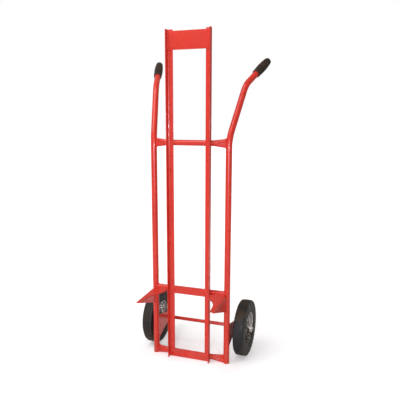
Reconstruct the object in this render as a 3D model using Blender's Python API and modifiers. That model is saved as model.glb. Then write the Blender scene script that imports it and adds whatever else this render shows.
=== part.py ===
"""Steel hand truck: bent side tubes, a narrow raised load frame, forward arms and solid-tyred wheels.

Units are metres, +Z is up, the load side faces -Y and the handles lean back towards +Y. The origin is on
the floor, under the middle of the whole truck. Heights are above the floor. Depths are given from the plane
of the two side tubes, which stands at TUBE_PLANE_Y.
"""

import math

import bmesh
import bpy
from mathutils import Matrix, Vector

# ---- driving dimensions --------------------------------------------------------------------------------
GAP = 0.0003                      # clearance between neighbouring pieces
SHEET_BEVEL = 0.0006              # on the edges of bars and angles
DRILL_REACH = 0.080               # cutters are this long, so they go right through
SIDES = (("left", -1.0), ("right", 1.0))

TUBE_RADIUS = 0.0135
TUBE_WALL = 0.002
TUBE_HALF_SPACING = 0.1735        # centre of a side tube from the middle
TUBE_BASE_Z = 0.001

HANDLE_BEND_1 = (0.1735, 0.0, 1.0115)      # corner where the tube starts to lean back
HANDLE_BEND_2 = (0.2113, 0.1120, 1.2380)   # corner where it turns into the grip
HANDLE_DIRECTION = Vector((0.2716, 0.7896, 0.5500)).normalized()
HANDLE_END = 0.196                # length of the last straight after the second corner
BEND_1_RADIUS = 0.160
BEND_2_RADIUS = 0.110
BEND_STEPS = 7

GRIP_START = 0.093                # along the last straight
GRIP_LENGTH = 0.122
GRIP_MOUTH_RADIUS = 0.0170
GRIP_BELLY_RADIUS = 0.0198
GRIP_END_RADIUS = 0.0162
GRIP_BELLY_SHARE = 0.42           # how far along the grip is thickest
GRIP_NOSE = 0.0110                # length of the rounded end

CROSS_RADIUS = 0.0125
CROSS_WALL = 0.0015
CROSS_HEIGHTS = {"upper_cross_tube": 0.9923, "middle_cross_tube": 0.3287, "bottom_cross_tube": 0.0190}
FLATTENED_TUBES = ("upper_cross_tube", "bottom_cross_tube")
FLAT_END_HEIGHT = 0.0370
FLAT_END_THICKNESS = 0.0080
FLAT_END_LENGTH = 0.018           # from the side tube's centre line
FLAT_TAPER_LENGTH = 0.050
CROSS_SEGMENTS = 20

ANGLE_HALF_WIDTH = 0.0993         # outer face of an angle from the middle
ANGLE_LEG = 0.0260
ANGLE_DEPTH = 0.0250
ANGLE_THICKNESS = 0.0030
ANGLE_TOP_Z = 1.4573

PLATE_THICKNESS = 0.0030
PLATE_SPANS = {"top_plate": (1.3750, 1.4510), "middle_plate": (0.3112, 0.3452),
               "bottom_plate": (0.0020, 0.0380)}

ARM_SHEET = 0.0040
ARM_FACE_X = 0.1735               # middle of the upright web
ARM_ROOT_Y = -0.0148              # just clear of the side tube
ARM_TIP_Y = -0.1960
ARM_ROOT_TOP_Z = 0.3270
ARM_TIP_TOP_Z = 0.3170
ARM_ROOT_BOTTOM_Z = 0.2520
ARM_TIP_BOTTOM_Z = 0.3120
# (from the middle, depth) along the flange's free edge
ARM_FLANGE_EDGE = ((0.1010, -0.0145), (0.1035, -0.0400), (0.1110, -0.0640), (0.1210, -0.0800),
                   (0.1370, -0.1010), (0.1470, -0.1200), (0.1540, -0.1480), (0.1575, -0.1800),
                   (0.1595, -0.1960))

WHEEL_RADIUS = 0.130
WHEEL_HALF_TRACK = 0.2246
WHEEL_Y = 0.1260
TYRE_WIDTH = 0.050
TYRE_SHOULDER_RADIUS = 0.121
TYRE_BEAD_CHAMFER = 0.0030
TYRE_SHOULDER_DROP = 0.0033       # how far the shoulder falls below the tread
TYRE_TREAD_EDGE = 0.0089          # from the wall to where the flat tread starts
RIM_RADIUS = 0.0750
RIM_SHEET = 0.0020
RIM_PLANE = GAP / 2.0             # the two pressed discs lie back to back
RIM_LIP = 0.0215
RIM_COLLAR_RISE = 0.0110          # how far the collar at the hub stands out
RIM_SWAGE_RISE = 0.0030
# (share of the way from the hub to the rim, height) along the face of a pressed disc
RIM_WEB = ((0.0, RIM_COLLAR_RISE), (0.08, RIM_COLLAR_RISE), (0.15, RIM_COLLAR_RISE / 2.0), (0.26, 0.0),
           (0.55, 0.0), (0.64, RIM_SWAGE_RISE), (0.72, 0.0))
RIM_BOLTS = 4
RIM_BOLT_CIRCLE = 0.0414
RIM_BOLT_TURN = math.radians(52.5)
RIM_BOLT_RADIUS = 0.0030
RIM_BOLT_HEAD = 0.0058            # corner radius of the hexagon
RIM_BOLT_HEAD_HEIGHT = 0.0040
RIM_NUT_HEIGHT = 0.0050
RIM_BOLT_SPARE = 0.0015           # thread standing past the nut
HUB_RADIUS = 0.0170
HUB_BORE = 0.0135
HUB_HALF_LENGTH = 0.0270
HUB_CHAMFER = 0.0008
BUSH_LENGTH = 0.0150
BUSH_FLANGE_RADIUS = 0.0190
BUSH_FLANGE = 0.0020

AXLE_RADIUS = 0.0080
AXLE_CLEARANCE = 0.0004
AXLE_END = 0.0095                 # axle standing out past the bush
AXLE_CHAMFER = 0.0008
WASHER_RADIUS = 0.0170
WASHER_THICKNESS = 0.0020
WASHER_CHAMFER = 0.0003
WASHER_PLAY = 0.0008              # between the washer and the pin
PIN_RADIUS = 0.0016
PIN_HEAD_RISE = 0.0060            # above the axle
PIN_LEG_DROP = 0.0040             # below the axle, before the legs are bent back
PIN_LEG_SPREAD = 0.0040
PIN_LEG_LENGTH = 0.0060           # height of the bent part of the legs
SPACER_RADIUS = 0.0125
SPACER_CHAMFER = 0.0005

GUSSET_THICKNESS = 0.0050
GUSSET_TUBE_LOW_Z = 0.0550
GUSSET_TUBE_HIGH_Z = 0.1780
GUSSET_NOSE_RADIUS = 0.0245

ROUND_SEGMENTS = 24
WHEEL_SEGMENTS = 48
SMALL_SEGMENTS = 12


# ---- where the origin falls ----------------------------------------------------------------------------
def grip_outline():
    """The grip's outer profile as (radius, height): a barrel with a rounded closed end."""
    belly = GRIP_LENGTH * GRIP_BELLY_SHARE
    straight = GRIP_LENGTH - GRIP_NOSE
    outline = []
    for step in range(9):
        height = straight * step / 8.0
        if height < belly:
            share = (belly - height) / belly
            radius = GRIP_BELLY_RADIUS - (GRIP_BELLY_RADIUS - GRIP_MOUTH_RADIUS) * share ** 2
        else:
            share = (height - belly) / (straight - belly)
            radius = GRIP_BELLY_RADIUS - (GRIP_BELLY_RADIUS - GRIP_END_RADIUS) * share ** 2
        outline.append((radius, height))
    for step in range(1, 5):
        angle = math.radians(19.0 * step)
        outline.append((GRIP_END_RADIUS * math.cos(angle) ** 0.8, straight + GRIP_NOSE * math.sin(angle)))
    return outline


def back_of_grips():
    """The rearmost point of a grip, as a depth from the side tubes' plane."""
    along = HANDLE_DIRECTION.y
    across = math.sqrt(1.0 - along ** 2)
    reaches = [along * (GRIP_START + height) + across * radius for radius, height in grip_outline()]
    return HANDLE_BEND_2[1] + max(reaches)


# The middle between the arms' tips and the backs of the grips is at y = 0.
TUBE_PLANE_Y = -(back_of_grips() + ARM_TIP_Y) / 2.0


# ---- scene and helpers ---------------------------------------------------------------------------------
def clear_scene():
    for old in list(bpy.data.objects):
        bpy.data.objects.remove(old, do_unlink=True)


def make_material(name, colour, roughness, metallic):
    material = bpy.data.materials.new(name)
    material.use_nodes = True
    shader = material.node_tree.nodes["Principled BSDF"]
    shader.inputs["Base Color"].default_value = (*colour, 1.0)
    shader.inputs["Roughness"].default_value = roughness
    shader.inputs["Metallic"].default_value = metallic
    return material


def place(x, y, z):
    """A point in the truck's frame from a depth given from the side tubes' plane."""
    return Vector((x, TUBE_PLANE_Y + y, z))


def add_object(name, mesh, material, smooth_angle=35.0):
    mesh.materials.clear()
    mesh.materials.append(material)
    mesh.shade_smooth()
    mesh.set_sharp_from_angle(angle=math.radians(smooth_angle))
    item = bpy.data.objects.new(name, mesh)
    TRUCK.objects.link(item)
    return item


def add_modifier(item, kind, name=None, **settings):
    modifier = item.modifiers.new(name or kind.title(), kind)
    for key, value in settings.items():
        setattr(modifier, key, value)
    return modifier


def mesh_from(build, name):
    work = bmesh.new()
    build(work)
    bmesh.ops.recalc_face_normals(work, faces=work.faces)
    mesh = bpy.data.meshes.new(name)
    work.to_mesh(mesh)
    work.free()
    return mesh


def bridge_rings(work, rings):
    """Quads between each ring of vertices and the next."""
    for lower, upper in zip(rings, rings[1:]):
        for i in range(len(lower)):
            j = (i + 1) % len(lower)
            work.faces.new((lower[i], lower[j], upper[j], upper[i]))


def cylinder_mesh(name, radius, length, matrix, segments):
    """A capped cylinder centred on the matrix's origin, along its Z axis."""
    work = bmesh.new()
    bmesh.ops.create_cone(work, cap_ends=True, segments=segments, radius1=radius, radius2=radius, depth=length)
    mesh = bpy.data.meshes.new(name)
    work.to_mesh(mesh)
    work.free()
    mesh.transform(matrix)
    return mesh


def drill(item, name, radius, matrix, segments=ROUND_SEGMENTS):
    """Cuts a round hole through an object and keeps the cutter hidden."""
    mesh = cylinder_mesh(name, radius, DRILL_REACH, matrix, segments)
    cutter = bpy.data.objects.new(name, mesh)
    CUTTERS.objects.link(cutter)
    cutter.hide_render = True
    cutter.display_type = "WIRE"
    add_modifier(item, "BOOLEAN", operation="DIFFERENCE", object=cutter, name=name)


def frame_along(direction, start):
    """A matrix whose +Z runs along direction from start."""
    turn = Vector(direction).to_track_quat("Z", "Y").to_matrix().to_4x4()
    return Matrix.Translation(start) @ turn


def turned(name, profile, material, matrix, segments=ROUND_SEGMENTS):
    """A turned solid: profile is a closed loop of (radius, height), lowest first on its outer side."""
    def build(work):
        rings = []
        for step in range(segments):
            angle = 2.0 * math.pi * step / segments
            ring = [work.verts.new((r * math.cos(angle), r * math.sin(angle), h)) for r, h in profile]
            rings.append(ring)
        count = len(profile)
        for step in range(segments):
            here, there = rings[step], rings[(step + 1) % segments]
            for i in range(count):
                j = (i + 1) % count
                work.faces.new((here[i], there[i], there[j], here[j]))
    mesh = mesh_from(build, name)
    mesh.transform(matrix)
    return add_object(name, mesh, material)


def ring_profile(inner, outer, low, high, edge=0.0):
    """A rectangular section between two radii, with small chamfers on the outer edges."""
    if edge == 0.0:
        return [(outer, low), (outer, high), (inner, high), (inner, low)]
    return [(outer - edge, low), (outer, low + edge), (outer, high - edge), (outer - edge, high),
            (inner, high), (inner, low)]


def slab(name, outline, thickness, matrix, material, bevel=SHEET_BEVEL):
    """A flat plate from an outline of (u, v) points, its thickness split either side of its own plane."""
    curve = bpy.data.curves.new(name, "CURVE")
    curve.dimensions = "2D"
    curve.fill_mode = "BOTH"
    curve.extrude = thickness / 2.0
    spline = curve.splines.new("POLY")
    spline.points.add(len(outline) - 1)
    for point, (u, v) in zip(spline.points, outline):
        point.co = (u, v, 0.0, 1.0)
    spline.use_cyclic_u = True
    mesh = mesh_of_curve(curve, name)
    mesh.transform(matrix)
    item = add_object(name, mesh, material)
    if bevel > 0.0:
        add_modifier(item, "BEVEL", width=bevel, segments=1, limit_method="ANGLE")
    return item


def mesh_of_curve(curve, name):
    """The curve's surface as a mesh with its caps welded on."""
    holder = bpy.data.objects.new(name + "_curve", curve)
    TRUCK.objects.link(holder)
    depsgraph = bpy.context.evaluated_depsgraph_get()
    mesh = bpy.data.meshes.new_from_object(holder.evaluated_get(depsgraph))
    work = bmesh.new()
    work.from_mesh(mesh)
    bmesh.ops.remove_doubles(work, verts=work.verts, dist=0.00001)
    bmesh.ops.recalc_face_normals(work, faces=work.faces)
    work.to_mesh(mesh)
    work.free()
    bpy.data.objects.remove(holder, do_unlink=True)
    bpy.data.curves.remove(curve)
    mesh.name = name
    return mesh


def rounded_path(points, radii, steps):
    """A polyline through points with each inner corner turned into an arc of the given radius."""
    path = [points[0]]
    for before, corner, after, radius in zip(points, points[1:], points[2:], radii):
        back = (before - corner).normalized()
        ahead = (after - corner).normalized()
        half = back.angle(ahead) / 2.0
        centre = corner + (back + ahead).normalized() * (radius / math.sin(half))
        first = corner + back * (radius / math.tan(half)) - centre
        last = corner + ahead * (radius / math.tan(half)) - centre
        sweep = first.angle(last)
        axis = first.cross(last).normalized()
        for step in range(steps + 1):
            path.append(centre + Matrix.Rotation(sweep * step / steps, 3, axis) @ first)
    path.append(points[-1])
    return path


def bent_tube(name, path, radius, wall, material):
    """A hollow tube, open at both ends, along a path."""
    curve = bpy.data.curves.new(name, "CURVE")
    curve.dimensions = "3D"
    curve.bevel_depth = radius
    curve.bevel_resolution = 5
    curve.use_fill_caps = False
    spline = curve.splines.new("POLY")
    spline.points.add(len(path) - 1)
    for point, place_on_path in zip(spline.points, path):
        point.co = (*place_on_path, 1.0)
    item = add_object(name, mesh_of_curve(curve, name), material)
    add_modifier(item, "SOLIDIFY", thickness=wall, offset=-1.0, use_even_offset=True)
    return item


# ---- tubes and grips -----------------------------------------------------------------------------------
def handle_point(side, distance):
    """A point on the last straight of a handle, at a distance after its second corner."""
    corner = place(HANDLE_BEND_2[0], HANDLE_BEND_2[1], HANDLE_BEND_2[2])
    point = corner + HANDLE_DIRECTION * distance
    return Vector((side * point.x, point.y, point.z))


def make_side_tube(label, side):
    corners = [place(side * TUBE_HALF_SPACING, 0.0, TUBE_BASE_Z),
               place(side * HANDLE_BEND_1[0], HANDLE_BEND_1[1], HANDLE_BEND_1[2]),
               place(side * HANDLE_BEND_2[0], HANDLE_BEND_2[1], HANDLE_BEND_2[2]),
               handle_point(side, HANDLE_END)]
    path = rounded_path(corners, (BEND_1_RADIUS, BEND_2_RADIUS), BEND_STEPS)
    bent_tube(f"{label}_side_tube", path, TUBE_RADIUS, TUBE_WALL, RED)


def make_grip(label, side):
    """A moulded sleeve pushed onto the handle's end."""
    bore = TUBE_RADIUS + GAP
    floor = HANDLE_END - GRIP_START + GAP
    profile = [(bore, floor), (bore, 0.0)] + grip_outline()

    def build(work):
        rings = []
        for radius, height in profile:
            ring = []
            for i in range(ROUND_SEGMENTS):
                angle = 2.0 * math.pi * i / ROUND_SEGMENTS
                ring.append(work.verts.new((radius * math.cos(angle), radius * math.sin(angle), height)))
            rings.append(ring)
        bridge_rings(work, rings)
        work.faces.new(rings[0])
        work.faces.new(rings[-1])
    mesh = mesh_from(build, f"{label}_grip")
    direction = Vector((side * HANDLE_DIRECTION.x, HANDLE_DIRECTION.y, HANDLE_DIRECTION.z))
    mesh.transform(frame_along(direction, handle_point(side, GRIP_START)))
    add_object(f"{label}_grip", mesh, GRIP)


def cross_section(half_height, half_thickness, count):
    """A rounded section in depth and height: two half circles joined by straight sides."""
    radius = min(half_height, half_thickness)
    rise = half_height - radius
    points = []
    for i in range(count):
        angle = 2.0 * math.pi * (i + 0.5) / count
        lift = math.copysign(rise, math.sin(angle))
        points.append((radius * math.cos(angle), radius * math.sin(angle) + lift))
    return points


def cross_tube_stations(flattened):
    """Places along X, each with how round the tube is there: 0 is pressed flat and 1 is round."""
    if not flattened:
        return [(-TUBE_HALF_SPACING, 1.0), (TUBE_HALF_SPACING, 1.0)]
    taper_start = TUBE_HALF_SPACING - FLAT_END_LENGTH
    half = [(TUBE_HALF_SPACING, 0.0), (taper_start, 0.0)]
    for step in range(1, 5):
        half.append((taper_start - FLAT_TAPER_LENGTH * step / 4.0, step / 4.0))
    return [(-x, share) for x, share in half] + [(x, share) for x, share in reversed(half)]


def make_cross_tube(name, height):
    """A tube between the side tubes, notched to fit round them."""
    def build(work):
        rings = []
        for x, share in cross_tube_stations(name in FLATTENED_TUBES):
            half_height = FLAT_END_HEIGHT / 2.0 + (CROSS_RADIUS - FLAT_END_HEIGHT / 2.0) * share
            half_thickness = FLAT_END_THICKNESS / 2.0 + (CROSS_RADIUS - FLAT_END_THICKNESS / 2.0) * share
            section = cross_section(half_height, half_thickness, CROSS_SEGMENTS)
            rings.append([work.verts.new(place(x, y, height + z)) for y, z in section])
        bridge_rings(work, rings)
    item = add_object(name, mesh_from(build, name), RED)
    add_modifier(item, "SOLIDIFY", thickness=CROSS_WALL, offset=-1.0, use_even_offset=True)
    for label, side in SIDES:
        upright = Matrix.Translation(place(side * TUBE_HALF_SPACING, 0.0, height))
        drill(item, f"{name}_{label}_notch", TUBE_RADIUS + GAP, upright)


# ---- raised load frame ---------------------------------------------------------------------------------
def make_angle(label, side):
    """An L section: one leg behind the plates facing forward, one leg standing forward at the outside."""
    back = -CROSS_RADIUS - GAP
    outer = side * ANGLE_HALF_WIDTH
    inner = side * (ANGLE_HALF_WIDTH - ANGLE_LEG)
    skin = side * (ANGLE_HALF_WIDTH - ANGLE_THICKNESS)
    outline = [(outer, back), (outer, back - ANGLE_DEPTH), (skin, back - ANGLE_DEPTH),
               (skin, back - ANGLE_THICKNESS), (inner, back - ANGLE_THICKNESS), (inner, back)]
    length = ANGLE_TOP_Z
    middle = place(0.0, 0.0, length / 2.0)
    slab(f"{label}_angle", outline, length, Matrix.Translation(middle), RED)


def make_plate(name, low, high):
    """A flat bar between the angles' standing legs, on the front of their inner legs."""
    half = ANGLE_HALF_WIDTH - ANGLE_THICKNESS - GAP
    outline = [(-half, low), (half, low), (half, high), (-half, high)]
    depth = -CROSS_RADIUS - GAP - ANGLE_THICKNESS - GAP - PLATE_THICKNESS / 2.0
    upright = Matrix.Rotation(math.radians(90.0), 4, "X")
    slab(name, outline, PLATE_THICKNESS, Matrix.Translation(place(0.0, depth, 0.0)) @ upright, RED)


def make_arm(label, side):
    """A folded sheet: an upright web under the outer edge of a tapering top flange."""
    def top(depth):
        share = (depth - ARM_ROOT_Y) / (ARM_TIP_Y - ARM_ROOT_Y)
        return ARM_ROOT_TOP_Z + (ARM_TIP_TOP_Z - ARM_ROOT_TOP_Z) * share

    def build(work):
        fold_root = work.verts.new(place(side * ARM_FACE_X, ARM_ROOT_Y, ARM_ROOT_TOP_Z))
        fold_tip = work.verts.new(place(side * ARM_FACE_X, ARM_TIP_Y, ARM_TIP_TOP_Z))
        web_tip = work.verts.new(place(side * ARM_FACE_X, ARM_TIP_Y, ARM_TIP_BOTTOM_Z))
        web_root = work.verts.new(place(side * ARM_FACE_X, ARM_ROOT_Y, ARM_ROOT_BOTTOM_Z))
        edge = [work.verts.new(place(side * x, depth, top(depth))) for x, depth in ARM_FLANGE_EDGE]
        work.faces.new((fold_root, fold_tip, web_tip, web_root))
        work.faces.new([fold_tip, fold_root] + edge)
    mesh = mesh_from(build, f"{label}_arm")
    item = add_object(f"{label}_arm", mesh, RED)
    add_modifier(item, "SOLIDIFY", thickness=ARM_SHEET, offset=0.0, use_even_offset=True)


# ---- axle and wheels -----------------------------------------------------------------------------------
def gusset_outline():
    """Outline in depth and height: an edge on the tube, and a round nose about the axle."""
    edge = TUBE_RADIUS + GAP
    centre = Vector((WHEEL_Y, WHEEL_RADIUS))
    points = [(edge, GUSSET_TUBE_LOW_Z)]
    arcs = []
    for start_z, turn in ((GUSSET_TUBE_LOW_Z, -1.0), (GUSSET_TUBE_HIGH_Z, 1.0)):
        away = Vector((edge, start_z)) - centre
        spread = math.acos(GUSSET_NOSE_RADIUS / away.length)
        arcs.append(math.atan2(away.y, away.x) - turn * spread)
    low, high = arcs[0], arcs[1]
    low = low - 2.0 * math.pi if low > 0.0 else low
    high = high + 2.0 * math.pi if high < 0.0 else high
    for step in range(13):
        angle = low + (high - low) * step / 12.0
        points.append((centre.x + GUSSET_NOSE_RADIUS * math.cos(angle),
                       centre.y + GUSSET_NOSE_RADIUS * math.sin(angle)))
    points.append((edge, GUSSET_TUBE_HIGH_Z))
    return points


def make_gusset(label, side):
    """A plate from the side tube back to the axle, bored for the axle."""
    sideways = Matrix(((0.0, 0.0, 1.0, side * TUBE_HALF_SPACING), (1.0, 0.0, 0.0, TUBE_PLANE_Y),
                       (0.0, 1.0, 0.0, 0.0), (0.0, 0.0, 0.0, 1.0)))
    item = slab(f"{label}_axle_gusset", gusset_outline(), GUSSET_THICKNESS, sideways, RED, bevel=0.0)
    bore = frame_along((1.0, 0.0, 0.0), place(side * TUBE_HALF_SPACING, WHEEL_Y, WHEEL_RADIUS))
    drill(item, f"{label}_gusset_drill", AXLE_RADIUS + GAP, bore)


def axle_frame(side, offset):
    """A frame whose +Z runs outwards along the axle, starting at an offset from the wheel's middle."""
    start = place(side * (WHEEL_HALF_TRACK + offset), WHEEL_Y, WHEEL_RADIUS)
    return frame_along((side, 0.0, 0.0), start)


def bush_outer_face():
    return HUB_HALF_LENGTH + GAP + BUSH_FLANGE


def make_axle():
    """A solid bar with a hole for a split pin near each end."""
    length = 2.0 * (WHEEL_HALF_TRACK + bush_outer_face() + AXLE_END)
    along_x = frame_along((1.0, 0.0, 0.0), place(0.0, WHEEL_Y, WHEEL_RADIUS))
    item = add_object("axle", cylinder_mesh("axle", AXLE_RADIUS, length, along_x, ROUND_SEGMENTS), RED)
    add_modifier(item, "BEVEL", width=AXLE_CHAMFER, segments=1, limit_method="ANGLE")
    for label, side in SIDES:
        upright = Matrix.Translation(pin_centre(side))
        drill(item, f"{label}_pin_drill", PIN_RADIUS + GAP, upright, SMALL_SEGMENTS)


def pin_centre(side):
    washer_face = WHEEL_HALF_TRACK + bush_outer_face() + 2.0 * GAP + WASHER_THICKNESS
    return place(side * (washer_face + WASHER_PLAY + PIN_RADIUS), WHEEL_Y, WHEEL_RADIUS)


def make_split_pin(label, side):
    """A pin through the axle end, with its closed legs bent back below."""
    centre = pin_centre(side)
    top = centre + Vector((0.0, 0.0, AXLE_RADIUS + PIN_HEAD_RISE))
    low = centre - Vector((0.0, 0.0, AXLE_RADIUS + PIN_LEG_DROP))
    tip = low + Vector((0.0, PIN_LEG_SPREAD, -PIN_LEG_LENGTH))
    curve = bpy.data.curves.new(f"{label}_split_pin", "CURVE")
    curve.dimensions = "3D"
    curve.bevel_depth = PIN_RADIUS
    curve.bevel_resolution = 2
    curve.use_fill_caps = True
    spline = curve.splines.new("POLY")
    points = (top, low, tip)
    spline.points.add(len(points) - 1)
    for point, corner in zip(spline.points, points):
        point.co = (*corner, 1.0)
    add_object(f"{label}_split_pin", mesh_of_curve(curve, f"{label}_split_pin"), ZINC)


def make_tyre(label, side):
    """A solid rubber ring with flat walls, a shoulder each side and a flat tread."""
    half = TYRE_WIDTH / 2.0
    inner = RIM_RADIUS + GAP
    wall_end = (inner + TYRE_SHOULDER_RADIUS) / 2.0
    shoulder = WHEEL_RADIUS - TYRE_SHOULDER_DROP
    profile = [(inner, -half + TYRE_BEAD_CHAMFER), (inner + TYRE_BEAD_CHAMFER, -half), (wall_end, -half),
               (TYRE_SHOULDER_RADIUS, -half + TYRE_SHOULDER_DROP / 4.0),
               (shoulder, -half + TYRE_SHOULDER_DROP), (WHEEL_RADIUS, -half + TYRE_TREAD_EDGE)]
    mirrored = [(r, -h) for r, h in reversed(profile)]
    turned(f"{label}_tyre", profile + mirrored, TYRE, axle_frame(side, 0.0), WHEEL_SEGMENTS)


def make_rim_half(label, side, word, outward):
    """A pressed steel disc: hub collar, dished web with a swage, and a turned lip that carries the tyre."""
    start = HUB_RADIUS + GAP
    web = [(start + share * (RIM_RADIUS - start), height) for share, height in RIM_WEB]
    wall = RIM_RADIUS - RIM_SHEET / 2.0
    face = web + [(wall - 2.5 * RIM_SHEET, RIM_SHEET / 2.0), (wall - RIM_SHEET / 2.0, 2.0 * RIM_SHEET),
                  (wall, RIM_LIP)]
    lip_back = [(wall - RIM_SHEET, RIM_LIP), (wall - 1.5 * RIM_SHEET, 2.5 * RIM_SHEET),
                (wall - 3.3 * RIM_SHEET, 1.5 * RIM_SHEET)]
    profile = face + lip_back + [(r, h + RIM_SHEET) for r, h in reversed(web)]
    profile = [(r, outward * (RIM_PLANE + h)) for r, h in profile]
    item = turned(f"{label}_{word}_rim_half", profile, RIM, axle_frame(side, 0.0), WHEEL_SEGMENTS // 2)
    for number in range(RIM_BOLTS):
        drill(item, f"{label}_{word}_rim_drill_{number + 1}", RIM_BOLT_RADIUS + GAP, bolt_frame(side, number),
              SMALL_SEGMENTS)


def bolt_frame(side, number):
    """A frame on the wheel's middle plane at one of the bolts, with +Z outwards."""
    turn = Matrix.Rotation(RIM_BOLT_TURN + 2.0 * math.pi * number / RIM_BOLTS, 4, "Z")
    return axle_frame(side, 0.0) @ turn @ Matrix.Translation((RIM_BOLT_CIRCLE, 0.0, 0.0))


def hexagon_ring(work, corner_radius, height):
    """The corners and edge middles of a hexagon, as many points as a small circle has."""
    ring = []
    for step in range(SMALL_SEGMENTS):
        angle = 2.0 * math.pi * step / SMALL_SEGMENTS
        reach = corner_radius if step % 2 == 0 else corner_radius * math.cos(math.pi / 6.0)
        ring.append(work.verts.new((reach * math.cos(angle), reach * math.sin(angle), height)))
    return ring


def circle_ring(work, radius, height):
    steps = [2.0 * math.pi * step / SMALL_SEGMENTS for step in range(SMALL_SEGMENTS)]
    return [work.verts.new((radius * math.cos(angle), radius * math.sin(angle), height)) for angle in steps]


def make_rim_bolt(label, side, number):
    """A hexagon bolt through both discs, and its nut on the inner side."""
    seat = RIM_PLANE + RIM_SHEET + GAP
    head_top = seat + RIM_BOLT_HEAD_HEIGHT
    nut_end = -seat - RIM_NUT_HEIGHT

    def build_bolt(work):
        rings = [circle_ring(work, RIM_BOLT_RADIUS, height) for height in (nut_end - RIM_BOLT_SPARE, seat)]
        rings += [hexagon_ring(work, RIM_BOLT_HEAD, height) for height in (seat, head_top)]
        bridge_rings(work, rings)
        work.faces.new(rings[0])
        work.faces.new(rings[-1])

    def build_nut(work):
        rings = [circle_ring(work, RIM_BOLT_RADIUS + GAP, height) for height in (nut_end, -seat)]
        rings += [hexagon_ring(work, RIM_BOLT_HEAD, height) for height in (-seat, nut_end)]
        bridge_rings(work, rings + rings[:1])
    for word, build in (("bolt", build_bolt), ("nut", build_nut)):
        name = f"{label}_rim_{word}_{number + 1}"
        mesh = mesh_from(build, name)
        mesh.transform(bolt_frame(side, number))
        add_object(name, mesh, ZINC)


def make_hub(label, side):
    """The sleeve that the rim is pressed on, and a flanged bush in each end of it."""
    sleeve = ring_profile(HUB_BORE, HUB_RADIUS, -HUB_HALF_LENGTH, HUB_HALF_LENGTH, HUB_CHAMFER)
    turned(f"{label}_hub_sleeve", sleeve, RIM, axle_frame(side, 0.0))
    for word, outward in (("inner", -1.0), ("outer", 1.0)):
        bore = AXLE_RADIUS + AXLE_CLEARANCE
        body = HUB_BORE - GAP
        face = HUB_HALF_LENGTH + GAP
        end = face + BUSH_FLANGE
        profile = [(bore, face - BUSH_LENGTH), (body, face - BUSH_LENGTH), (body, face),
                   (BUSH_FLANGE_RADIUS, face), (BUSH_FLANGE_RADIUS, end), (bore, end)]
        profile = [(r, outward * h) for r, h in profile]
        turned(f"{label}_{word}_bush", profile, NYLON, axle_frame(side, 0.0))


def make_axle_fittings(label, side):
    """The washer outside the wheel, the spacer inside it, and the split pin."""
    bore = AXLE_RADIUS + GAP
    washer = ring_profile(bore, WASHER_RADIUS, 0.0, WASHER_THICKNESS, WASHER_CHAMFER)
    turned(f"{label}_outer_washer", washer, ZINC, axle_frame(side, bush_outer_face() + 2.0 * GAP))
    spacer_start = TUBE_HALF_SPACING + GUSSET_THICKNESS / 2.0 + GAP - WHEEL_HALF_TRACK
    spacer_end = -bush_outer_face() - 2.0 * GAP
    spacer = ring_profile(bore, SPACER_RADIUS, spacer_start, spacer_end, SPACER_CHAMFER)
    turned(f"{label}_axle_spacer", spacer, ZINC, axle_frame(side, 0.0))
    make_split_pin(label, side)


# ---- build ---------------------------------------------------------------------------------------------
clear_scene()
TRUCK = bpy.data.collections.new("hand_truck")
CUTTERS = bpy.data.collections.new("cutters")
bpy.context.scene.collection.children.link(TRUCK)
bpy.context.scene.collection.children.link(CUTTERS)

RED = make_material("red_enamel", (0.72, 0.055, 0.040), 0.35, 0.0)
GRIP = make_material("grip_rubber", (0.040, 0.025, 0.018), 0.60, 0.0)
TYRE = make_material("tyre_rubber", (0.025, 0.024, 0.022), 0.75, 0.0)
RIM = make_material("rim_steel", (0.55, 0.54, 0.51), 0.38, 0.9)
NYLON = make_material("bush_nylon", (0.70, 0.64, 0.50), 0.5, 0.0)
ZINC = make_material("zinc_plate", (0.62, 0.62, 0.60), 0.3, 1.0)

for tube_name, tube_height in CROSS_HEIGHTS.items():
    make_cross_tube(tube_name, tube_height)
for plate_name, (plate_low, plate_high) in PLATE_SPANS.items():
    make_plate(plate_name, plate_low, plate_high)
make_axle()
for side_label, side_sign in SIDES:
    make_side_tube(side_label, side_sign)
    make_grip(side_label, side_sign)
    make_angle(side_label, side_sign)
    make_arm(side_label, side_sign)
    make_gusset(side_label, side_sign)
    make_tyre(side_label, side_sign)
    make_rim_half(side_label, side_sign, "inner", -1.0)
    make_rim_half(side_label, side_sign, "outer", 1.0)
    for bolt_number in range(RIM_BOLTS):
        make_rim_bolt(side_label, side_sign, bolt_number)
    make_hub(side_label, side_sign)
    make_axle_fittings(side_label, side_sign)
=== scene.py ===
"""The looks of the steel hand truck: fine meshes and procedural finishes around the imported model.

Units are metres and +Z is up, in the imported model's own frame. Heights are above the floor, and depths
are from the plane of the two side tubes. A side is -1 for the left and 1 for the right.
"""

import math

import bmesh
import bpy
from mathutils import Matrix, Vector, noise


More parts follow.
